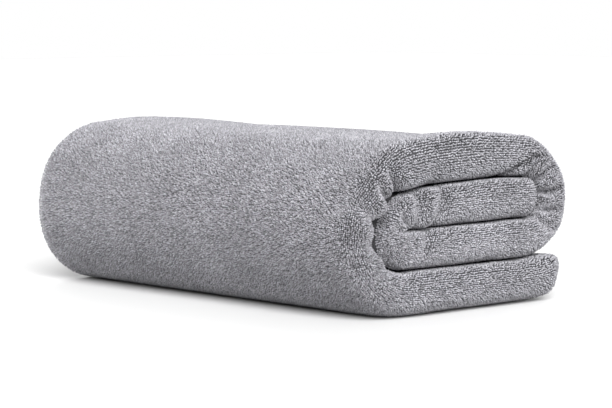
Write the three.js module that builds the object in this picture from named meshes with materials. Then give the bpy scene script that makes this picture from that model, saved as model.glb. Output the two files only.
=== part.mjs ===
// Rolled bath towel of looped terry cloth.
// The towel is folded once across and once lengthwise, which makes a thick strip of four cloth layers,
// and the strip is rolled up flat. Seen from the near end, the strip runs from its free end at the bottom
// right along the bottom, round the left bend, over the top, round the right bend, back along the second
// layer, round the inner bend and out along the tongue in the middle.
// Millimetres. +Z is up, +X runs along the roll to the near end, and the long outer bend faces -Y.

import * as THREE from 'three';

// Driving sizes
const ROLL_LENGTH = 350; // half the towel's width of 700
const STRIP = 28.6; // thickness of the strip, four layers of terry
const GAP = 1.0; // between one turn and the next
const LEFT_POLE = -53; // Y of the axis of both left bends
const RIGHT_POLE = 65; // Y of the axis of the right bend and of the tongue's round end
const FREE_POLE = 88; // Y where the bottom layer's round end begins
const FOLD_DEPTH = 16; // how far the lengthwise fold rounds off at the near end
const EDGE_DEPTH = 6; // how far each cloth edge rounds off at the far end
const END_SHRINK = 0.7; // share of the fold's rounding that the strip's round ends repeat at their corners

// Sizes that follow
const PITCH = STRIP + GAP;
const HALF = STRIP / 2;
const NEAR = ROLL_LENGTH / 2;
const FAR = -ROLL_LENGTH / 2;
const SECOND = HALF + PITCH;
const TONGUE = HALF + 2 * PITCH;
const TOP = HALF + 3 * PITCH;
const LEFT_AXIS = HALF + 1.5 * PITCH;

// How the strip lies. A run goes from one Y to another at one height. A bend turns about a pole, with
// its angles in degrees from +Y towards +Z. `open` is how far the bend's inner face stands back.
const COURSE = [
  { kind: 'run', from: FREE_POLE, to: LEFT_POLE, z: HALF, steps: 9 },
  { kind: 'bend', y: LEFT_POLE, z: LEFT_AXIS, radius: 1.5 * PITCH, from: 270, to: 90, steps: 18, open: 0 },
  { kind: 'run', from: LEFT_POLE, to: RIGHT_POLE, z: TOP, steps: 8 },
  { kind: 'bend', y: RIGHT_POLE, z: TONGUE, radius: PITCH, from: 90, to: -90, steps: 14, open: 0 },
  { kind: 'run', from: RIGHT_POLE, to: LEFT_POLE, z: SECOND, steps: 8 },
  { kind: 'bend', y: LEFT_POLE, z: LEFT_AXIS, radius: 0.5 * PITCH, from: 270, to: 90, steps: 10, open: 1.6 },
  { kind: 'run', from: LEFT_POLE, to: RIGHT_POLE, z: TONGUE, steps: 8 },
];

// Where the strip's round ends are cut, in degrees from its last full section
const END_ANGLES = [24, 46, 65, 80];

// The fold at the near end is a squarish round nose, cut at these angles from its tip
const NOSE_ANGLES = [16, 33, 50, 68, 90];
const NOSE_POWER = 2 / 2.5;
const BODY_STEPS = 11;

// The four cloth edges at the far end: half of the strip holds two of them. `in` is the share of
// EDGE_DEPTH that the point lies in from the end, and `up` its share of the strip's half thickness.
const EDGES = [
  { in: 0.35, up: 0.93 },
  { in: 0, up: 0.76 },
  { in: 0.3, up: 0.6 },
  { in: 1, up: 0.5 },
  { in: 0.3, up: 0.41 },
  { in: 0, up: 0.26 },
  { in: 0.4, up: 0.1 },
  { in: 1, up: 0 },
];

// Creases across the fold at the near end. `run` and `at` place one along the course, as the row of
// COURSE and the share of it, and `depth` presses it in over `width` and dies out over `reach` along X.
// A crease thins the strip on each side and draws the fold's tip back, by these shares of its depth.
const CREASE_THINS = 0.5;
const CREASE_DRAWS = 0.6;
const CREASES = [
  { run: 1, at: 0.34, width: 15, depth: 2.2, reach: 40 },
  { run: 1, at: 0.83, width: 9, depth: 4.2, reach: 34 },
  { run: 1, at: 0.66, width: 12, depth: 1.8, reach: 46 },
  { run: 2, at: 0.02, width: 12, depth: 2.6, reach: 30 },
  { run: 3, at: 0.45, width: 8, depth: 2.4, reach: 26 },
  { run: 3, at: 0.68, width: 8, depth: 1.8, reach: 22 },
  { run: 4, at: 0.7, width: 12, depth: 1.4, reach: 24 },
  { run: 6, at: 0.1, width: 9, depth: 3.0, reach: 26 },
  { run: 6, at: 0.32, width: 11, depth: 1.5, reach: 22 },
];

// Soft swells and hollows of the lying roll. Each moves what lies about x, y, z up by `lift` and
// towards +Y by `shift`, and fades over its three reaches.
const SWELLS = [
  { x: 40, reachX: 420, y: -20, reachY: 52, z: 122, reachZ: 26, lift: 6, shift: 0 },
  { x: 40, reachX: 420, y: 112, reachY: 48, z: 118, reachZ: 34, lift: -6, shift: 0 },
  { x: 172, reachX: 22, y: 40, reachY: 62, z: 118, reachZ: 24, lift: 4.5, shift: 0 },
  { x: 130, reachX: 24, y: 30, reachY: 60, z: 118, reachZ: 24, lift: -1.6, shift: 0 },
  { x: -150, reachX: 75, y: 15, reachY: 55, z: 118, reachZ: 40, lift: 2.5, shift: 0 },
  { x: 175, reachX: 120, y: -75, reachY: 40, z: 84, reachZ: 22, lift: -5.5, shift: 0 },
  { x: 175, reachX: 120, y: 60, reachY: 45, z: 84, reachZ: 26, lift: 2, shift: 0 },
  { x: 0, reachX: 900, y: 114, reachY: 30, z: 16, reachZ: 19, lift: 7, shift: 0 },
  { x: 175, reachX: 240, y: -78, reachY: 22, z: 58, reachZ: 34, lift: 0, shift: 4.5 },
  { x: 120, reachX: 45, y: -112, reachY: 40, z: 40, reachZ: 40, lift: 0, shift: -2.2 },
  { x: 20, reachX: 55, y: -112, reachY: 40, z: 70, reachZ: 45, lift: 0, shift: 1.2 },
  { x: -70, reachX: 60, y: -112, reachY: 40, z: 55, reachZ: 45, lift: 0, shift: -1.4 },
];

// Where the roll lies flat: nothing is lifted at the bottom of it, up to the free end
const FLAT_TO = 48;
const FREE_FROM = 95;
const GRIP_HEIGHT = 10;
const CORNER_REACH = 3 * FOLD_DEPTH; // how far along X a round end's corner is drawn in

const radians = THREE.MathUtils.degToRad;
const smooth = (low, high, value) => THREE.MathUtils.smoothstep(value, low, high);
const hump = (distance, reach) => Math.exp(-((distance / reach) ** 2));

// Stations along the strip's middle: place, direction outwards from the roll, distance along the strip,
// the half thickness on the outer and the inner side, how far the near corner is drawn in, and the share
// in which the far end shows its four cloth edges
function layCourse() {
  const whole = { outer: HALF, inner: HALF, inset: 0, lobes: 1 };
  const stations = [];
  const starts = [];
  let along = 0;
  for (const row of COURSE) {
    starts.push({ along, length: row.kind === 'run' ? Math.abs(row.to - row.from) : Math.PI * row.radius });
    const first = stations.length === 0 ? 0 : 1;
    for (let i = first; i <= row.steps; i++) {
      const share = i / row.steps;
      const value = THREE.MathUtils.lerp(row.from, row.to, share);
      const distance = along + share * starts.at(-1).length;
      if (row.kind === 'run') {
        const up = row.to < row.from ? -1 : 1;
        stations.push({ ...whole, y: value, z: row.z, ny: 0, nz: up, along: distance });
      } else {
        const ny = Math.cos(radians(value));
        const nz = Math.sin(radians(value));
        const inner = HALF - row.open * Math.sin(Math.PI * share);
        const y = row.y + row.radius * ny;
        const z = row.z + row.radius * nz;
        stations.push({ ...whole, y, z, ny, nz, along: distance, inner });
      }
    }
    along += starts.at(-1).length;
  }
  return { stations, starts };
}

// A round end: sections that shrink to a narrow edge beyond the last full one
function roundEnd(last, heading) {
  return END_ANGLES.map((angle) => {
    const half = HALF * Math.cos(radians(angle));
    const reach = HALF * Math.sin(radians(angle));
    const inset = END_SHRINK * FOLD_DEPTH * (1 - Math.cos(radians(angle)));
    const lobes = 1 - angle / END_ANGLES.at(-1);
    return { ...last, y: last.y + heading * reach, outer: half, inner: half, inset, lobes };
  });
}

// Half of the strip's cross-section from the tip of the near fold to the far end: x, the share of the
// half thickness at which the surface lies there, the share of the fold's nose that it is on, and how
// far the cloth edges move it from a plain round end
function halfSection() {
  const points = [{ x: NEAR, up: 0, nose: 1, lobe: 0 }];
  for (const angle of NOSE_ANGLES) {
    const back = 1 - Math.cos(radians(angle)) ** NOSE_POWER;
    const up = Math.sin(radians(angle)) ** NOSE_POWER;
    points.push({ x: NEAR - FOLD_DEPTH * back, up, nose: 1 - back, lobe: 0 });
  }
  const bodyStart = NEAR - FOLD_DEPTH;
  const bodyEnd = FAR + EDGE_DEPTH;
  for (let i = 1; i <= BODY_STEPS; i++) {
    points.push({ x: THREE.MathUtils.lerp(bodyStart, bodyEnd, i / BODY_STEPS), up: 1, nose: 0, lobe: 0 });
  }
  for (const edge of EDGES) {
    const plain = 1 - Math.sqrt(1 - edge.up ** 2);
    points.push({ x: FAR + EDGE_DEPTH * plain, up: edge.up, nose: 0, lobe: EDGE_DEPTH * (edge.in - plain) });
  }
  return points;
}

// How far the creases press a point of the near fold in
function creased(point, station, starts) {
  let depth = 0;
  for (const crease of CREASES) {
    const { along, length } = starts[crease.run];
    const centre = along + crease.at * length;
    const fade = smooth(NEAR - crease.reach, NEAR, point.x);
    depth += crease.depth * hump(station.along - centre, crease.width) * fade;
  }
  return depth;
}

// The swells and hollows at one point
function settled(x, y, z) {
  const loose = Math.max(smooth(0, GRIP_HEIGHT, z), smooth(FLAT_TO, FREE_FROM, y));
  let lift = 0;
  let shift = 0;
  for (const row of SWELLS) {
    const share = hump(x - row.x, row.reachX) * hump(y - row.y, row.reachY) * hump(z - row.z, row.reachZ);
    lift += row.lift * share * loose;
    shift += row.shift * share;
  }
  return [x, y + shift, z + lift];
}

// A closed skin of quads over sections of equal point counts, with both ends closed flat
function towelGeometry() {
  const { stations, starts } = layCourse();
  const half = halfSection();
  const sections = [
    ...roundEnd(stations[0], 1).reverse(),
    ...stations,
    ...roundEnd(stations.at(-1), 1),
  ];
  const positions = [];
  const upper = half.map((point) => ({ ...point, side: 1 }));
  const lower = half.slice(1, -1).reverse().map((point) => ({ ...point, side: -1 }));
  const loop = [...upper, ...lower];
  for (const station of sections) {
    for (const point of loop) {
      const depth = creased(point, station, starts);
      const thickness = (point.side > 0 ? station.outer : station.inner) - CREASE_THINS * depth;
      const out = point.side * point.up * thickness;
      const drawnIn = smooth(NEAR - CORNER_REACH, NEAR, point.x) * station.inset;
      const x = point.x + station.lobes * point.lobe - drawnIn - CREASE_DRAWS * depth * point.nose;
      positions.push(...settled(x, station.y + station.ny * out, station.z + station.nz * out));
    }
  }

  const count = loop.length;
  const index = [];
  const quad = (a, b, c, d) => index.push(a, b, c, a, c, d);
  for (let s = 0; s < sections.length - 1; s++) {
    for (let i = 0; i < count; i++) {
      const a = s * count + i;
      const b = s * count + ((i + 1) % count);
      quad(a, a + count, b + count, b);
    }
  }
  const closeEnd = (base, turned) => {
    for (let i = 0; i < half.length - 1; i++) {
      const a = base + i;
      const b = base + i + 1;
      const c = base + ((count - i - 1) % count);
      const d = base + ((count - i) % count);
      const corners = turned ? [a, b, c, d] : [d, c, b, a];
      const kept = corners.filter((corner, k) => corner !== corners[(k + 1) % 4]);
      index.push(kept[0], kept[1], kept[2]);
      if (kept.length === 4) {
        index.push(kept[0], kept[2], kept[3]);
      }
    }
  };
  closeEnd(0, true);
  closeEnd((sections.length - 1) * count, false);

  const geometry = new THREE.BufferGeometry();
  geometry.setAttribute('position', new THREE.Float32BufferAttribute(positions, 3));
  geometry.setIndex(index);
  geometry.computeVertexNormals();
  geometry.computeBoundingBox();
  const box = geometry.boundingBox;
  geometry.translate(0, -(box.min.y + box.max.y) / 2, 0);
  return geometry;
}

const terry = new THREE.MeshStandardMaterial({ color: 0x9b9aa0, roughness: 1, metalness: 0 });

const towel = new THREE.Mesh(towelGeometry(), terry);
towel.name = 'towel';

const rolledTowel = new THREE.Group();
rolledTowel.add(towel);

export default rolledTowel;
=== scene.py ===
import math

import bpy
import numpy as np
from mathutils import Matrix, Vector


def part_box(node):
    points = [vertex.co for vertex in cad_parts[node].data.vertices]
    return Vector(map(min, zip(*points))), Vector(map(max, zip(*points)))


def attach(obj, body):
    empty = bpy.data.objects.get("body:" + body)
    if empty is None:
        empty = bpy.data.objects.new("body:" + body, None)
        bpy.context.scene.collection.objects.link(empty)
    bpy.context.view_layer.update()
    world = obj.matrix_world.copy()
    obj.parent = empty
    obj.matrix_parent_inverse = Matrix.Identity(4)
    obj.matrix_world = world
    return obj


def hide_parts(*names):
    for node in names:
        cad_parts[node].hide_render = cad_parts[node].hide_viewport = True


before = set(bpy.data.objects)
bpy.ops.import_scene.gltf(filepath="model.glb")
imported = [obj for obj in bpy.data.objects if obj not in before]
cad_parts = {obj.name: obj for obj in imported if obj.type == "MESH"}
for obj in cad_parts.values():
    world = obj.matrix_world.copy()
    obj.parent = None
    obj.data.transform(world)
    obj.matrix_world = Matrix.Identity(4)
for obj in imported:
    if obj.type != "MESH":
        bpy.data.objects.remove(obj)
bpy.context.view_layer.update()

# The view. A long lens looks at the roll from its near end and a little above it, so that the folds of
# the near end and the plain long side both show.
mm = 0.001
AZIMUTH = math.radians(47.3)
ELEVATION = math.radians(4.94)
DISTANCE = 1713 * mm
AIM_RIGHT = 8.9 * mm
AIM_UP = 64.2 * mm
LENS = 135.3
SENSOR = 36

right = Vector((math.cos(AZIMUTH), math.sin(AZIMUTH), 0))
forward = Vector((-math.sin(AZIMUTH), math.cos(AZIMUTH), 0)) * math.cos(ELEVATION)
forward.z = -math.sin(ELEVATION)
up = right.cross(forward)
bpy.ops.object.camera_add(location=right * AIM_RIGHT + up * AIM_UP - forward * DISTANCE)
camera = bpy.context.object
camera.name = "camera"
camera.rotation_euler = forward.to_track_quat("-Z", "Y").to_euler()
camera.data.lens = LENS
camera.data.sensor_width = SENSOR
bpy.context.scene.camera = camera

# The towel's cloth. It is one length of cotton terry, woven in one piece with a selvedge along each
# side and a hem at each end. It is folded once across and once lengthwise, and the strip of four layers
# is rolled up flat, so that nothing but its own weight holds it.
WIDTH = 700 * mm
LENGTH = 1600 * mm
CLOTH = 6.2 * mm  # the cloth without the tips of its loops
AIR = 0.5 * mm  # between two layers
PILE = 1.15 * mm  # how far the loops stand out of the cloth
STRIP = 4 * CLOTH + 3 * AIR + 2 * PILE
HALF = STRIP / 2
PITCH = 29.6 * mm  # from one turn of the roll to the next
SECOND = HALF + PITCH
TONGUE = HALF + 2 * PITCH
TOP = HALF + 3 * PITCH
LEFT_RISE = HALF + 1.5 * PITCH  # the height of the two left bends' pole
LEFT_POLE = -53 * mm
RIGHT_POLE = 65 * mm
FREE_POLE = 88 * mm
FREE_FOLD = 99.5 * mm  # where the fold across begins, at the strip's free end
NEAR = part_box("towel")[1][0]
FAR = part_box("towel")[0][0]
FOLD_DEPTH = 16 * mm
ROUND_NOSE = 2.4  # the near fold's section, as a superellipse's power, where nothing presses on it
SQUARER = 2.6  # what the power gains where the next turn presses
NOSE_SWELLS = 0.02  # how much thicker the strip is at its near fold, where the turns touch
CENTRED = 2.03 * mm  # brings the lying roll's box to the middle
SELVEDGE = 7 * mm
SELVEDGE_THIN = 0.42  # the selvedge's thickness, as a share of the cloth's

# The strip's course from its free end to the tongue in the middle: straight runs at one height, and
# bends about a pole with their angles in degrees from +Y towards +Z. `pinch` is how much further the
# inside of a bend reaches, where the cloth is squeezed.
COURSE = [
    dict(kind="run", start=FREE_POLE, stop=LEFT_POLE, z=HALF),
    dict(kind="bend", y=LEFT_POLE, z=LEFT_RISE, radius=1.5 * PITCH, start=270, stop=90, pinch=0),
    dict(kind="run", start=LEFT_POLE, stop=RIGHT_POLE, z=TOP),
    dict(kind="bend", y=RIGHT_POLE, z=TONGUE, radius=PITCH, start=90, stop=-90, pinch=7.5 * mm),
    dict(kind="run", start=RIGHT_POLE, stop=LEFT_POLE, z=SECOND),
    dict(kind="bend", y=LEFT_POLE, z=LEFT_RISE, radius=PITCH / 2, start=270, stop=90, pinch=5.5 * mm),
    dict(kind="run", start=LEFT_POLE, stop=RIGHT_POLE, z=TONGUE),
]
travelled = 0
for row in COURSE:
    row["begins"] = travelled
    row["length"] = abs(row["stop"] - row["start"])
    if row["kind"] == "bend":
        row["length"] = math.radians(row["length"]) * row["radius"]
    travelled += row["length"]

# Creases of the near fold, placed by the run or bend of the course and the share of it. Each thins the
# strip by `press` and draws its nose back by `draw`, over `width` along the strip, and less than nothing
# makes a ridge. `side` is 1 for the roll's outer side, -1 for the inner and 0 for both. A crease dies
# out over `reach` from the near end and leans by `slant` over that. All of these are in millimetres.
# It also leans by `tilt` times the distance across the strip.
CREASES = [
    dict(run=1, at=0.43, width=22, press=7.0, draw=-2.0, side=-1, reach=30, slant=0, tilt=0),
    dict(run=1, at=0.10, width=14, press=0.8, draw=1.8, side=0, reach=40, slant=0, tilt=0),
    dict(run=1, at=0.25, width=9, press=1.4, draw=3.0, side=0, reach=46, slant=4, tilt=0.3),
    dict(run=1, at=0.42, width=8, press=1.4, draw=3.2, side=0, reach=44, slant=-4, tilt=-0.3),
    dict(run=1, at=0.53, width=7, press=-0.7, draw=-1.6, side=1, reach=40, slant=0, tilt=0),
    dict(run=1, at=0.635, width=7, press=2.6, draw=5.5, side=0, reach=46, slant=-8, tilt=0.4),
    dict(run=1, at=0.715, width=8, press=-0.8, draw=-2.0, side=0, reach=36, slant=0, tilt=0),
    dict(run=1, at=0.773, width=5.4, press=3.0, draw=7.5, side=-1, reach=24, slant=0, tilt=-0.35),
    dict(run=1, at=0.818, width=5.0, press=-0.9, draw=-2.2, side=-1, reach=24, slant=0, tilt=0),
    dict(run=1, at=0.868, width=5.4, press=4.2, draw=9.5, side=-1, reach=24, slant=0, tilt=-0.35),
    dict(run=2, at=0.20, width=8, press=0.6, draw=1.8, side=-1, reach=22, slant=0, tilt=0),
    dict(run=2, at=0.45, width=14, press=-0.3, draw=-0.6, side=0, reach=26, slant=0, tilt=0),
    dict(run=2, at=1.03, width=4.6, press=3.0, draw=8.0, side=-1, reach=22, slant=0, tilt=1.9),
    dict(run=3, at=0.00, width=8, press=-0.4, draw=-1.0, side=-1, reach=22, slant=0, tilt=0.6),
    dict(run=3, at=0.12, width=4.6, press=4.5, draw=11.0, side=-1, reach=22, slant=0, tilt=0.3),
    dict(run=3, at=0.26, width=4.6, press=5.0, draw=12.0, side=-1, reach=22, slant=0, tilt=0),
    dict(run=3, at=0.35, width=4.5, press=-1.0, draw=-1.4, side=-1, reach=22, slant=0, tilt=0),
    dict(run=3, at=0.445, width=4.6, press=5.0, draw=12.0, side=-1, reach=24, slant=0, tilt=0),
    dict(run=3, at=0.53, width=4.0, press=-0.8, draw=-1.0, side=-1, reach=22, slant=0, tilt=0),
    dict(run=3, at=0.61, width=4.6, press=3.6, draw=9.0, side=-1, reach=22, slant=0, tilt=-0.4),
    dict(run=3, at=0.76, width=6, press=1.8, draw=5.0, side=-1, reach=22, slant=0, tilt=-0.4),
    dict(run=4, at=0.30, width=14, press=0.5, draw=1.4, side=0, reach=24, slant=0, tilt=0),
    dict(run=4, at=0.89, width=4.2, press=1.4, draw=5.0, side=-1, reach=20, slant=0, tilt=0.4),
    dict(run=5, at=0.55, width=12, press=6.5, draw=5.0, side=1, reach=34, slant=0, tilt=0),
    dict(run=5, at=0.62, width=4, press=-0.4, draw=-1.8, side=-1, reach=20, slant=0, tilt=0),
    dict(run=5, at=0.82, width=4.4, press=2.6, draw=8.5, side=-1, reach=22, slant=0, tilt=0),
    dict(run=5, at=0.95, width=3.8, press=-0.5, draw=-1.8, side=-1, reach=20, slant=0, tilt=0),
    dict(run=6, at=0.06, width=4.2, press=0.9, draw=4.5, side=0, reach=20, slant=0, tilt=0),
    dict(run=6, at=0.145, width=4.4, press=-0.4, draw=-1.6, side=0, reach=20, slant=0, tilt=0),
    dict(run=6, at=0.25, width=4.6, press=1.2, draw=5.5, side=0, reach=22, slant=0, tilt=0.3),
    dict(run=6, at=0.70, width=16, press=-0.2, draw=-0.6, side=0, reach=22, slant=0, tilt=0),
]

# Soft swells and hollows of the lying roll, in millimetres: what lies about x, y, z is moved up by
# `lift` and towards +Y by `shift`
SWELLS = [
    dict(x=40, reach_x=420, y=-20, reach_y=52, z=122, reach_z=26, lift=6, shift=0),
    dict(x=40, reach_x=420, y=112, reach_y=48, z=118, reach_z=34, lift=-6, shift=0),
    dict(x=172, reach_x=22, y=40, reach_y=62, z=118, reach_z=24, lift=4.5, shift=0),
    dict(x=130, reach_x=24, y=30, reach_y=60, z=118, reach_z=24, lift=-1.6, shift=0),
    dict(x=-150, reach_x=75, y=15, reach_y=55, z=118, reach_z=40, lift=2.5, shift=0),
    dict(x=175, reach_x=120, y=-75, reach_y=40, z=84, reach_z=22, lift=-5.5, shift=0),
    dict(x=175, reach_x=120, y=60, reach_y=45, z=84, reach_z=26, lift=2, shift=0),
    dict(x=0, reach_x=900, y=114, reach_y=30, z=16, reach_z=19, lift=7, shift=0),
    dict(x=100, reach_x=300, y=112, reach_y=34, z=106, reach_z=24, lift=0, shift=-2.8),
    dict(x=100, reach_x=300, y=112, reach_y=34, z=44, reach_z=18, lift=0, shift=2.0),
    dict(x=175, reach_x=240, y=-78, reach_y=22, z=58, reach_z=34, lift=0, shift=4.5),
    dict(x=120, reach_x=45, y=-112, reach_y=40, z=40, reach_z=40, lift=0, shift=-2.2),
    dict(x=20, reach_x=55, y=-112, reach_y=40, z=70, reach_z=45, lift=0, shift=1.2),
    dict(x=-70, reach_x=60, y=-112, reach_y=40, z=55, reach_z=45, lift=0, shift=-1.4),
    dict(x=200, reach_x=60, y=0, reach_y=260, z=20, reach_z=46, lift=4.5, shift=0),
    dict(x=85, reach_x=38, y=112, reach_y=34, z=78, reach_z=36, lift=0, shift=-2.6),
    dict(x=-10, reach_x=46, y=112, reach_y=34, z=86, reach_z=36, lift=0, shift=1.8),
    dict(x=-115, reach_x=42, y=112, reach_y=34, z=74, reach_z=34, lift=0, shift=-3.6),
    dict(x=60, reach_x=44, y=112, reach_y=34, z=12, reach_z=20, lift=0, shift=-4),
    dict(x=-40, reach_x=50, y=112, reach_y=34, z=12, reach_z=20, lift=1.2, shift=2.4),
    dict(x=-140, reach_x=40, y=112, reach_y=34, z=12, reach_z=20, lift=2.2, shift=-4.5),
    dict(x=-60, reach_x=34, y=30, reach_y=44, z=122, reach_z=24, lift=-2.4, shift=0),
    dict(x=20, reach_x=40, y=66, reach_y=30, z=116, reach_z=24, lift=1.4, shift=0),
    dict(x=-190, reach_x=40, y=-112, reach_y=44, z=64, reach_z=30, lift=0, shift=3.2),
    dict(x=-178, reach_x=36, y=60, reach_y=40, z=120, reach_z=40, lift=-2.6, shift=0),
]


def smooth(low, high, value):
    share = np.clip((value - low) / (high - low), 0, 1)
    return share * share * (3 - 2 * share)


def hump(distance, reach):
    return np.exp(-(distance / reach) ** 2)


def fold_across(down, proud):
    """The first fold: the place along the strip from the fold, and out from the two layers' middle"""
    radius = (CLOTH + AIR) / 2
    beyond = down - LENGTH / 2
    turn = np.clip(beyond / radius, -math.pi / 2, math.pi / 2)
    along = np.maximum(np.abs(beyond) - radius * math.pi / 2, 0) - (radius + proud) * np.cos(turn)
    return along, (radius + proud) * np.sin(turn)


def facing_up(along):
    """How far the strip's outer side faces up, from 1 to -1"""
    distance = along + FREE_POLE - FREE_FOLD
    ups = []
    for row in COURSE:
        share = np.clip((distance - row["begins"]) / row["length"], 0, 1)
        angle = np.radians(row["start"] + (row["stop"] - row["start"]) * share)
        flat = 1 if row["stop"] > row["start"] else -1
        ups.append(np.sin(angle) if row["kind"] == "bend" else flat + 0 * share)
    begins = [row["begins"] for row in COURSE]
    return np.choose(np.clip(np.searchsorted(begins, distance) - 1, 0, None), ups)


def fold_lengthwise(across, along, out):
    """The second fold at the near end: the place along X and out from the strip's middle. Its nose is
    square above, where the next turn presses on it, and rounder below."""
    radius = CLOTH + AIR
    beyond = across - WIDTH / 2
    turn = np.clip(beyond / radius, -math.pi / 2, math.pi / 2)
    cos = np.cos(turn)
    sin = np.sin(turn)
    upward = facing_up(along) * np.sign(turn) * np.minimum(3 * np.abs(sin), 1)
    power = ROUND_NOSE + SQUARER * smooth(-0.2, 0.7, upward)
    squarish = (np.abs(cos) ** power + np.abs(sin) ** power) ** (-1 / power)
    flat = np.maximum(np.abs(beyond) - radius * math.pi / 2, 0)
    longest = WIDTH / 2 - radius * math.pi / 2
    reach = NEAR - FOLD_DEPTH - FAR - 0.5 * mm
    x = NEAR - FOLD_DEPTH - flat * reach / longest
    x = x + (radius - out) * squarish * cos * FOLD_DEPTH / HALF
    swollen = 1 + NOSE_SWELLS * smooth(NEAR - 3 * FOLD_DEPTH, NEAR - FOLD_DEPTH, x)
    return x, (radius - out) * squarish * sin * swollen


END_REACH = 42 * mm  # how much of the strip's ends is rounded
FREE_ROUNDED = 2.05
FREE_LEANS = 0.75  # the free end's upper corner is the rounder one
FREE_OUT = 2.8 * mm
INNER_ROUNDED = 1.2
INNER_BACK = 6 * mm
FREE_DRAWN = 9.3 * mm  # how far the near fold stands back at the strip's ends
INNER_DRAWN = 6.5 * mm
EDGE_WAVES = 3.2 * mm  # how unevenly the layers' edges lie at the far end
EDGE_PHASES = np.array([0.4, 2.9, 4.7, 1.6])
RIPPLES = 0.024  # how much the near fold's thickness wanders, as a share of it


def uneven(x, along, v, across, down):
    """Makes the strip's ends and edges uneven, as they come from folding by hand"""
    end = LENGTH / 2 - (CLOTH + AIR) / 2 * math.pi / 2
    roundness = HALF - np.sqrt(np.maximum(HALF ** 2 - v ** 2, 0))
    free = 1 - smooth(0, END_REACH, along)
    inner = 1 - smooth(0, END_REACH, end - along)
    rounded = (FREE_ROUNDED - FREE_LEANS * v / HALF) * free - INNER_ROUNDED * inner
    along = along + roundness * rounded - FREE_OUT * free + INNER_BACK * inner
    drawn = FREE_DRAWN * (1 - smooth(-6 * mm, 10 * mm, along))
    drawn = drawn + INNER_DRAWN * (1 - smooth(-6 * mm, 10 * mm, end - along))
    x = x - drawn * smooth(NEAR - 3 * FOLD_DEPTH, NEAR, x)
    layer = 2 * (across > WIDTH / 2) + (down > LENGTH / 2)
    phase = EDGE_PHASES[layer]
    wave = 0.5 + 0.3 * np.sin(along / (47 * mm) + phase) + 0.2 * np.sin(along / (19 * mm) + 2.3 * phase)
    back = EDGE_WAVES * wave * smooth(0, 40 * mm, along) * smooth(0, 40 * mm, end - along)
    x = x + back * smooth(0.55, 1, np.abs(across - WIDTH / 2) / (WIDTH / 2))
    ripple = 0.6 * np.sin(along / (4.3 * mm)) + 0.4 * np.sin(along / (2.6 * mm) + 1)
    ripple = ripple + 0.5 * np.sin(along / (9 * mm))
    v = v * (1 + RIPPLES * ripple * smooth(NEAR - 16 * mm, NEAR - 4 * mm, x))
    return x, along, v


def crease(x, along, v):
    """Presses the creases into the strip and draws its nose back there"""
    distance = along + FREE_POLE - FREE_FOLD
    press = 0 * x
    draw = 0 * x
    for row in CREASES:
        part = COURSE[row["run"]]
        centre = part["begins"] + row["at"] * part["length"]
        leans = row["slant"] * mm * np.clip((NEAR - x) / (row["reach"] * mm), 0, 1.5)
        centre = centre + leans + row["tilt"] * v
        fade = smooth(NEAR - row["reach"] * mm, NEAR - 0.3 * row["reach"] * mm, x)
        inside = row["side"] * v / HALF
        widens = 0.7 + 0.6 * np.clip(inside, 0, 1) if row["side"] else 1
        share = hump(distance - centre, row["width"] * mm * widens) * fade
        if row["side"]:
            share = share * smooth(-0.7, 0.4, inside)
        press = press + row["press"] * mm * share
        draw = draw + row["draw"] * mm * share
    nose = np.clip((x - NEAR) / (1.4 * FOLD_DEPTH) + 1, 0, 1)
    return x - draw * nose * (0.6 + 0.4 * nose), along, v * (1 - press / HALF)


def roll_up(x, along, v):
    """Lays the strip along its course"""
    distance = along + FREE_POLE - FREE_FOLD
    y = 0 * x
    z = 0 * x
    for index, row in enumerate(COURSE):
        share = (distance - row["begins"]) / row["length"]
        here = (share >= 0) | (index == 0)
        here &= (share < 1) | (index == len(COURSE) - 1)
        value = row["start"] + (row["stop"] - row["start"]) * share
        if row["kind"] == "run":
            way = 1 if row["stop"] > row["start"] else -1
            y = np.where(here, value, y)
            z = np.where(here, row["z"] + way * v, z)
        else:
            angle = np.radians(value)
            radius = row["radius"] + v
            squeezed = row["pinch"] * np.where(v < 0, v / HALF, 0) ** 2
            y = np.where(here, row["y"] + (radius + squeezed) * np.cos(angle), y)
            z = np.where(here, row["z"] + radius * np.sin(angle), z)
    return x, y, z


def settle(x, y, z):
    """The swells and hollows of the lying roll, which stays flat where it rests"""
    loose = np.maximum(smooth(0, 10 * mm, z), smooth(48 * mm, 95 * mm, y))
    loose = np.maximum(loose, smooth(NEAR - 2.2 * FOLD_DEPTH, NEAR, x))
    lift = 0 * x
    shift = 0 * x
    for row in SWELLS:
        share = hump(x - row["x"] * mm, row["reach_x"] * mm)
        share = share * hump(y - row["y"] * mm, row["reach_y"] * mm)
        share = share * hump(z - row["z"] * mm, row["reach_z"] * mm)
        lift = lift + row["lift"] * mm * share * loose
        shift = shift + row["shift"] * mm * share
    return x, y + shift + CENTRED, z + lift


def lie(across, down, proud):
    """Where a point of the flat towel lies in the roll"""
    across, down, proud = np.broadcast_arrays(across, down, proud)
    along, out = fold_across(down, proud)
    x, v = fold_lengthwise(across, along, out)
    x, along, v = uneven(x, along, v, across, down)
    x, along, v = crease(x, along, v)
    return np.stack(settle(*roll_up(x, along, v)), axis=-1)


# The flat towel is a thin grid, with its cells crowded at the two folds, and each point is then laid
# where it lies in the roll
CELLS_ACROSS = 84
CELLS_DOWN = 570
OUTSIDE_SHARE = 0.72  # of the cells along the towel, for the half that lies outside in the strip
CROWDED_ACROSS = 1.6
CROWDED_OUTSIDE = 1.1
CROWDED_INSIDE = 1.5
bpy.ops.object.select_all(action="DESELECT")
bpy.ops.mesh.primitive_grid_add(x_subdivisions=CELLS_ACROSS, y_subdivisions=CELLS_DOWN, size=2)
towel = bpy.context.object
towel.name = "towel_cloth"
thickness = towel.modifiers.new("thickness", "SOLIDIFY")
thickness.thickness = CLOTH
thickness.offset = 0
bpy.ops.object.modifier_apply(modifier="thickness")

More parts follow.
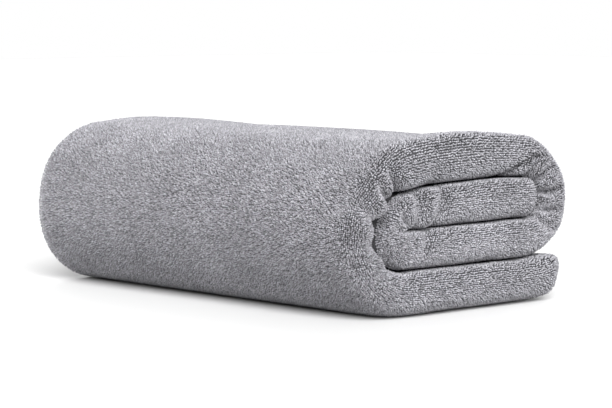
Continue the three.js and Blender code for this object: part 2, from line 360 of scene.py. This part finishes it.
points = np.empty(len(towel.data.vertices) * 3)
towel.data.vertices.foreach_get("co", points)
u, w, n = points.reshape(-1, 3).T
across = WIDTH / 2 * (1 + np.sign(u) * np.abs(u) ** CROWDED_ACROSS)
turned = (w + 1) / 2 - OUTSIDE_SHARE
outside = -np.clip(-turned / OUTSIDE_SHARE, 0, None) ** CROWDED_OUTSIDE
inside = np.clip(turned / (1 - OUTSIDE_SHARE), 0, None) ** CROWDED_INSIDE
down = LENGTH / 2 * (1 + outside + inside)
from_side = np.minimum(across, WIDTH - across)
thin = SELVEDGE_THIN + (1 - SELVEDGE_THIN) * smooth(0, SELVEDGE, from_side)
towel.data.vertices.foreach_set("co", lie(across, down, n * thin).ravel())
# the bare selvedges, which the finish keeps out of the painted shade under the loops
bare = towel.data.attributes.new("bare", "FLOAT", "POINT")
bare.data.foreach_set("value", (1 - smooth(SELVEDGE, 2 * SELVEDGE, from_side)).astype(np.float32))
flat_map = towel.data.uv_layers.new(name="cloth")
corners = np.empty(len(towel.data.loops), dtype=np.int32)
towel.data.loops.foreach_get("vertex_index", corners)
flat_map.data.foreach_set("uv", np.stack([across[corners], down[corners]], axis=-1).ravel())
bpy.ops.object.mode_set(mode="EDIT")
bpy.ops.mesh.select_all(action="SELECT")
bpy.ops.mesh.normals_make_consistent(inside=False)
bpy.ops.object.mode_set(mode="OBJECT")
bpy.ops.object.shade_smooth()


class Wire:
    """A shader socket whose sums and products add Math nodes"""

    def __init__(self, tree, socket=None):
        self.tree = tree
        self.socket = socket

    def node(self, kind, settings=None, output=0, **values):
        made = self.tree.nodes.new(kind)
        for name, value in (settings or {}).items():
            setattr(made, name, value)
        for name, value in values.items():
            place = int(name[1:]) if name[0] == "i" and name[1:].isdigit() else name.replace("_", " ")
            if isinstance(value, Wire):
                self.tree.links.new(value.socket, made.inputs[place])
            else:
                made.inputs[place].default_value = value
        return Wire(self.tree, made.outputs[output])

    def maths(self, operation, first, second):
        return self.node("ShaderNodeMath", {"operation": operation}, i0=first, i1=second)

    def at_least(self, value):
        return self.maths("MAXIMUM", self, value)

    def __pow__(self, power):
        return self.maths("POWER", self, power)

    def __add__(self, other):
        return self.maths("ADD", self, other)

    __radd__ = __add__

    def __mul__(self, other):
        return self.maths("MULTIPLY", self, other)

    __rmul__ = __mul__

    def __sub__(self, other):
        return self.maths("SUBTRACT", self, other)

    def __rsub__(self, other):
        return self.maths("SUBTRACT", other, self)


GREY = (0.345, 0.342, 0.366)
PATCH_SCALE = 28.0
FLECK_SCALE = 900.0
GRAIN_SCALE = 1600.0
GRAIN_DEPTH = 0.4 * mm


def terry(name, looped):
    """Matt grey cotton. Each loop has its own tone and painted shade that darkens it towards its root,
    and the cloth under the loops has painted shade from them but for its bare selvedges."""
    material = bpy.data.materials.new(name)
    material.use_nodes = True
    tree = material.node_tree
    shader = tree.nodes["Principled BSDF"]
    shader.inputs["Roughness"].default_value = 0.95
    shader.inputs["Specular IOR Level"].default_value = 0.1
    start = Wire(tree)
    place = start.node("ShaderNodeTexCoord", output="Object")
    patch = start.node("ShaderNodeTexNoise", output="Fac", Vector=place, Scale=PATCH_SCALE, Detail=3.0)
    light = 0.8 + 0.4 * patch
    if looped:
        tone = start.node("ShaderNodeAttribute", {"attribute_name": "tone"}, output="Fac")
        height = start.node("ShaderNodeAttribute", {"attribute_name": "height"}, output="Fac")
        # painted shade: each loop darkens towards its root, standing in for the shade the loops cast on
        # one another
        light = light * (1 + 0.2 * tone) * (0.26 + 0.78 * height ** 0.7)
    else:
        selvedge = start.node("ShaderNodeAttribute", {"attribute_name": "bare"}, output="Fac")
        # painted shade: the cloth between the loops is darkened to a fifth, standing in for their shade,
        # and the bare selvedges, which no loops cover, are left lighter
        light = light * (0.2 + 0.6 * selvedge)
    fleck = start.node("ShaderNodeTexNoise", output="Fac", Vector=place, Scale=FLECK_SCALE, Detail=2.0)
    light = light * (0.28 + 1.44 * fleck)
    colour = start.node("ShaderNodeVectorMath", {"operation": "SCALE"}, i0=GREY, Scale=light)
    grain = start.node("ShaderNodeTexNoise", output="Fac", Vector=place, Scale=GRAIN_SCALE, Detail=2.0)
    bump = start.node("ShaderNodeBump", Strength=0.4, Distance=GRAIN_DEPTH, Height=grain)
    tree.links.new(colour.socket, shader.inputs["Base Color"])
    tree.links.new(bump.socket, shader.inputs["Normal"])
    return material


towel.data.materials.clear()
towel.data.materials.append(terry("terry_ground", looped=False))
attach(towel, "root")
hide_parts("towel")

# The loops of the pile. Each is a short arch of soft cotton yarn, drawn up out of the cloth along its
# length and leaning its own way. One is shaped here, and rows of it stand wherever the cloth shows.
LOOP_WIDTH = 2.0 * mm
LOOP_HEIGHT = 1.6 * mm
YARN = 1.6 * mm  # a loop's two strands lie side by side
ROUND_YARN = 0.45 * YARN  # from the arch's top to its sides
BURIED = 0.4 * mm
LOOP_PITCH = 1.32 * mm
COLUMN_PITCH = 1.54 * mm
rng = np.random.default_rng(7)

bpy.ops.object.select_all(action="DESELECT")
bpy.ops.mesh.primitive_cone_add(
    vertices=3, radius1=1, radius2=0, depth=2, end_fill_type="TRIFAN", rotation=(math.pi / 2, 0, 0)
)
loop = bpy.context.object
loop.name = "loop"
bpy.ops.object.transform_apply(location=False, rotation=True, scale=False)


def grasp(mesh, wanted):
    """Selects the points of a mesh that pass a test, and goes into edit mode"""
    bpy.ops.object.mode_set(mode="EDIT")
    bpy.ops.mesh.select_all(action="DESELECT")
    bpy.ops.object.mode_set(mode="OBJECT")
    for vertex in mesh.vertices:
        vertex.select = wanted(vertex.co)
    bpy.ops.object.mode_set(mode="EDIT")


# The cone's rim becomes the top of the arch, and its tip and the middle of its base become the feet
grasp(loop.data, lambda place: abs(place.x) + abs(place.z) > 0.5)
bpy.ops.transform.translate(value=(0, -1, 0))
bpy.ops.transform.resize(value=(YARN / math.sqrt(3), 1, ROUND_YARN), center_override=(0, 0, 0))
bpy.ops.transform.translate(value=(0, 0, LOOP_HEIGHT - ROUND_YARN))
grasp(loop.data, lambda place: abs(place.y) > 0.5)
bpy.ops.transform.resize(value=(1, LOOP_WIDTH / 2, 1), center_override=(0, 0, 0))
bpy.ops.transform.translate(value=(0, 0, -BURIED))
bpy.ops.object.mode_set(mode="OBJECT")
loop_points = np.array([vertex.co[:] for vertex in loop.data.vertices])
loop_faces = [list(face.vertices) for face in loop.data.polygons]
bpy.data.objects.remove(loop)

UNEVEN_PITCH = 0.22  # how far a loop stands off its even place along the column, as a share of the pitch
UNEVEN_COLUMN = 0.09
TWIST = math.radians(17)
LEAN_SIDE = 0.22
LEAN_LONG = 0.25


def rows_of_sites(columns, start, stop):
    """Sites along columns of the cloth's outer face, an even pitch apart as the cloth lies"""
    found = []
    for column in columns:
        down = np.linspace(start, stop, 1200)
        path = lie(column, down, CLOTH / 2)
        steps = np.linalg.norm(np.diff(path, axis=0), axis=1)
        length = np.concatenate([[0], np.cumsum(steps)])
        marks = np.arange(rng.uniform(0, LOOP_PITCH), length[-1], LOOP_PITCH)
        marks = marks + rng.uniform(-UNEVEN_PITCH, UNEVEN_PITCH, len(marks)) * LOOP_PITCH
        down = np.interp(marks, length, down)
        side = column + rng.uniform(-UNEVEN_COLUMN, UNEVEN_COLUMN, len(marks)) * COLUMN_PITCH
        found.append(np.stack([side, down], axis=-1))
    return np.concatenate(found)


def raise_loops(name, sites, pressed):
    """Joins a copy of the loop at each site into one piece, lower where it is pressed"""
    across, down = sites.T
    count = len(sites)
    face = CLOTH / 2
    base = lie(across, down, face)
    step = 0.1 * mm
    lengthways = lie(across, down + step, face) - lie(across, down - step, face)
    outwards = lie(across, down, face + step) - lie(across, down, face - step)
    lengthways /= np.linalg.norm(lengthways, axis=1)[:, None]
    outwards -= lengthways * np.sum(outwards * lengthways, axis=1)[:, None]
    outwards /= np.linalg.norm(outwards, axis=1)[:, None]
    sideways = np.cross(lengthways, outwards)
    twist = rng.normal(0, TWIST, count)[:, None]
    lean_side = rng.normal(0, LEAN_SIDE, count)
    lean_long = rng.normal(0, LEAN_LONG, count)
    size = rng.uniform(0.85, 1.15, count)
    tone = np.clip(rng.normal(0, 1, count), -2, 2)
    local_x = np.cos(twist) * sideways + np.sin(twist) * lengthways
    local_y = np.cos(twist) * lengthways - np.sin(twist) * sideways
    x, y, z = (size[:, None] * loop_points[None, :, k] for k in range(3))
    z = np.where(z > 0, z * pressed[:, None], z)
    x = x + lean_side[:, None] * np.maximum(z, 0)
    y = y + lean_long[:, None] * np.maximum(z, 0)
    places = base[:, None, :] + x[:, :, None] * local_x[:, None, :]
    places = places + y[:, :, None] * local_y[:, None, :] + z[:, :, None] * outwards[:, None, :]
    per_loop = len(loop_points)
    sizes = np.tile([len(face) for face in loop_faces], count)
    indices = np.concatenate([np.array(face) for face in loop_faces])
    indices = (indices[None, :] + per_loop * np.arange(count)[:, None]).ravel()
    mesh = bpy.data.meshes.new(name)
    mesh.vertices.add(count * per_loop)
    mesh.vertices.foreach_set("co", places.ravel())
    mesh.loops.add(len(indices))
    mesh.loops.foreach_set("vertex_index", indices.astype(np.int32))
    mesh.polygons.add(len(sizes))
    starts = np.concatenate([[0], np.cumsum(sizes)[:-1]])
    mesh.polygons.foreach_set("loop_start", starts.astype(np.int32))
    mesh.polygons.foreach_set("use_smooth", np.ones(len(sizes), dtype=bool))
    tones = mesh.attributes.new("tone", "FLOAT", "POINT")
    tones.data.foreach_set("value", np.repeat(tone, per_loop).astype(np.float32))
    # the height up each loop, from which the finish paints shade at the loops' roots
    heights = mesh.attributes.new("height", "FLOAT", "POINT")
    height = np.clip((loop_points[:, 2] + BURIED) / (LOOP_HEIGHT + BURIED), 0, 1)
    heights.data.foreach_set("value", np.tile(height, count).astype(np.float32))
    mesh.update()
    mesh.validate()
    piece = bpy.data.objects.new(name, mesh)
    bpy.context.collection.objects.link(piece)
    return piece


# The columns are an even pitch apart around the strip, on the mean of two places along it
MEASURED_AT = (300 * mm, 460 * mm)
girth = np.linspace(0, WIDTH, 4000)
spans = 0 * girth
for down in MEASURED_AT:
    steps = np.linalg.norm(np.diff(lie(girth, down, CLOTH / 2), axis=0), axis=1)
    spans += np.concatenate([[0], np.cumsum(steps)]) / len(MEASURED_AT)
columns = np.interp(np.arange(0.5 * COLUMN_PITCH, spans[-1], COLUMN_PITCH), spans, girth)
skin = rows_of_sites(columns, 2 * mm, LENGTH / 2 + 8 * mm)

# The loops stand on the outer turn, all round the near end and the free end, and in a band at the far
# end. Deep between the turns there are none, and in the crevices' mouths they lie pressed.
OVERLAP = 12 * mm  # how far the outer turn's loops go on under the next turn
NEAR_BAND = 32 * mm
CREVICE_BAND = 17 * mm
FAR_BAND = 9 * mm
FREE_BAND = 26 * mm
STRAY_BAND = 14 * mm  # at the free end, where loose loops stand taller
STRAY = 1.35
place = lie(skin[:, 0], skin[:, 1], CLOTH / 2)
along = LENGTH / 2 - skin[:, 1]
outer = skin[:, 0] > WIDTH / 2
shows = outer & (along > COURSE[1]["begins"] - OVERLAP) & (along < COURSE[4]["begins"] + OVERLAP)
near_end = place[:, 0] > NEAR - np.where(shows | (along < 20 * mm), NEAR_BAND, CREVICE_BAND)
squeezed = 0.7 + 0.3 * smooth(NEAR - 11 * mm, NEAR - 5 * mm, place[:, 0])
pressed = np.where(along < STRAY_BAND, STRAY, np.where(shows, 1, squeezed))
far_end = place[:, 0] < FAR + FAR_BAND
free_end = along < FREE_BAND
middle = shows & ~near_end & ~free_end
top_begins = COURSE[2]["begins"] - 20 * mm
back_begins = COURSE[2]["begins"] + 0.5 * COURSE[2]["length"]
near_half = COURSE[3]["begins"]
back_half = COURSE[3]["begins"] + 0.25 * COURSE[3]["length"]
regions = {
    "terry_near_end": near_end & (along < near_half),
    "terry_near_middle": near_end & (along >= near_half),
    "terry_free_end": free_end & ~near_end,
    "terry_long_side": middle & (along < top_begins),
    "terry_top": middle & (along >= top_begins) & (along < back_begins),
    "terry_back_top": middle & (along >= back_begins) & (along < back_half),
    "terry_back": middle & (along >= back_half),
    "terry_far_end": far_end & ~shows & ~free_end,
}
pile = [raise_loops(name, skin[chosen], pressed[chosen]) for name, chosen in regions.items()]

loop_finish = terry("terry_loops", looped=True)
for piece in pile:
    piece.data.materials.append(loop_finish)
    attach(piece, "root")

# The surface that the roll rests on and the light of a plain studio: a wide soft light from the front
# right, a low soft one from behind on the left, and an even surround that is brighter above.
FLOOR_SIZE = 12
LIGHTS = [
    dict(place=(0.86, -0.6, 0.63), angle=45, energy=6.7),
    dict(place=(-0.6, 0.8, 0.36), angle=70, energy=2.3),
]
bpy.ops.object.select_all(action="DESELECT")
bpy.ops.mesh.primitive_plane_add(size=FLOOR_SIZE, location=(0, 0, 0))
floor = bpy.context.object
floor.name = "floor"
pale = bpy.data.materials.new("pale")
pale.use_nodes = True
pale.node_tree.nodes["Principled BSDF"].inputs["Base Color"].default_value = (0.68, 0.68, 0.68, 1)
pale.node_tree.nodes["Principled BSDF"].inputs["Roughness"].default_value = 0.9
floor.data.materials.append(pale)

for row in LIGHTS:
    bpy.ops.object.light_add(type="SUN", location=row["place"])
    light = bpy.context.object
    light.data.angle = math.radians(row["angle"])
    light.data.energy = row["energy"]
    light.rotation_euler = (-light.location).to_track_quat("-Z", "Y").to_euler()
surround = bpy.data.worlds.new("surround")
surround.use_nodes = True
backdrop = surround.node_tree.nodes["Background"]
backdrop.inputs["Color"].default_value = (1, 1, 1, 1)
start = Wire(surround.node_tree)
seen = start.node("ShaderNodeLightPath", output="Is Camera Ray")
way = start.node("ShaderNodeTexCoord", output="Generated")
height = start.node("ShaderNodeSeparateXYZ", output="Z", Vector=way).at_least(0)
strength = (0.1 + 0.44 * height) * (1 - seen) + seen
surround.node_tree.links.new(strength.socket, backdrop.inputs["Strength"])
bpy.context.scene.world = surround
bpy.context.scene.view_settings.view_transform = "Standard"
